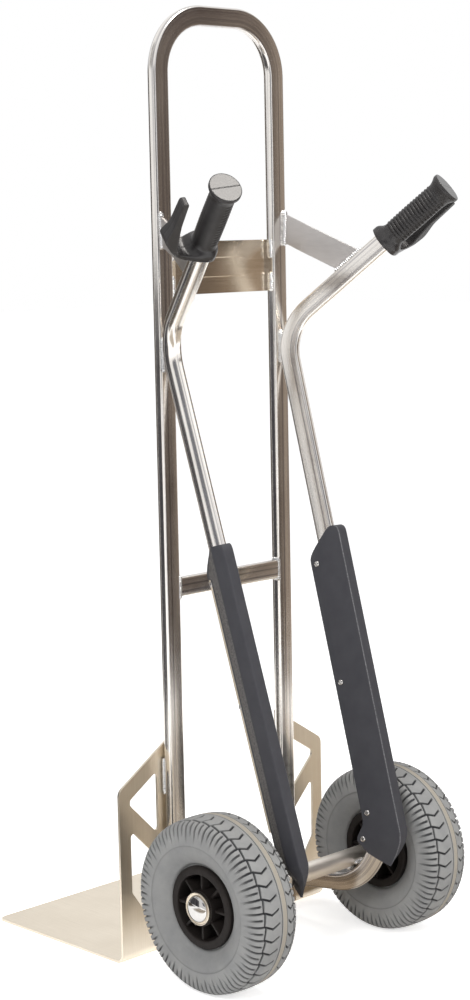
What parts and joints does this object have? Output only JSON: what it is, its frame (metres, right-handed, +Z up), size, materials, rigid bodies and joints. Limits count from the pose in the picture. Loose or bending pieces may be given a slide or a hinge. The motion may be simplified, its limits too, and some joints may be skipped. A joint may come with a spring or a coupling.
{
  "type": "sack truck",
  "caption": "Stainless tube sack truck with a flat toe plate, stair runners, angled grips with knuckle guards and grey rubber wheels on a fixed axle.",
  "frame": {"origin": "on the floor under the middle of the truck", "axes": "+Z up along the uprights, +Y towards the toe plate's front edge, +X to the user's right"},
  "size_m": [0.5744, 0.608, 1.432],
  "materials": {
    "polished_tube": "polished D-section stainless tube",
    "brushed_sheet": "brushed stainless sheet",
    "weld_bead": "bright brushed weld beads",
    "axle_steel": "satin round steel",
    "ground_steel": "ground steel",
    "cage_plastic": "moulded nylon cage",
    "bright_fittings": "bright plated screws, washers and caps",
    "grey_tyre": "mid-grey non-marking rubber",
    "rim_plastic": "black moulded rim",
    "grip_plastic": "charcoal moulded grip",
    "runner_plastic": "matt anthracite moulded runner"
  },
  "bodies": {
    "frame": {"arm_welds": "weld_bead", "axle_rod": "ground_steel", "axle_tube": "axle_steel", "axle_welds": "weld_bead", "bracket_welds": "weld_bead", "cross_tube_welds": "weld_bead", "foot_welds": "weld_bead", "front_loop": "polished_tube", "left_axle_cap": "bright_fittings", "left_clamp_strip": "brushed_sheet", "left_grip": "grip_plastic", "left_handle_bracket": "brushed_sheet", "left_inner_spacer": "axle_steel", "left_outer_washer": "bright_fittings", "left_rear_tube": "polished_tube", "left_runner_screws": "bright_fittings", "left_stair_runner": "runner_plastic", "mid_cross_tube": "polished_tube", "panel_welds": "weld_bead", "right_axle_cap": "bright_fittings", "right_clamp_strip": "brushed_sheet", "right_grip": "grip_plastic", "right_handle_bracket": "brushed_sheet", "right_inner_spacer": "axle_steel", "right_outer_washer": "bright_fittings", "right_rear_tube": "polished_tube", "right_runner_screws": "bright_fittings", "right_stair_runner": "runner_plastic", "toe_plate": "brushed_sheet", "toe_plate_welds": "weld_bead", "upper_panel": "brushed_sheet"},
    "left_wheel": {"left_tyre": "grey_tyre", "left_rim": "rim_plastic", "left_hub_sleeve": "axle_steel"},
    "left_bearing": {"left_rollers": "ground_steel", "left_roller_cage": "cage_plastic"},
    "right_wheel": {"right_tyre": "grey_tyre", "right_rim": "rim_plastic", "right_hub_sleeve": "axle_steel"},
    "right_bearing": {"right_rollers": "ground_steel", "right_roller_cage": "cage_plastic"}
  },
  "joints": [
    {"name": "left_wheel_spin", "type": "hinge", "parent": "frame", "child": "left_wheel", "pos_m": [-0.19, -0.174, 0.13], "axis": [1, 0, 0], "continuous": true},
    {"name": "left_bearing_spin", "type": "hinge", "parent": "frame", "child": "left_bearing", "pos_m": [-0.19, -0.174, 0.13], "axis": [1, 0, 0], "continuous": true},
    {"name": "right_wheel_spin", "type": "hinge", "parent": "frame", "child": "right_wheel", "pos_m": [0.19, -0.174, 0.13], "axis": [1, 0, 0], "continuous": true},
    {"name": "right_bearing_spin", "type": "hinge", "parent": "frame", "child": "right_bearing", "pos_m": [0.19, -0.174, 0.13], "axis": [1, 0, 0], "continuous": true}
  ],
  "couplings": [
    {"joint": "left_bearing_spin", "follows": "left_wheel_spin", "ratio": 0.6},
    {"joint": "right_bearing_spin", "follows": "right_wheel_spin", "ratio": 0.6}
  ]
}
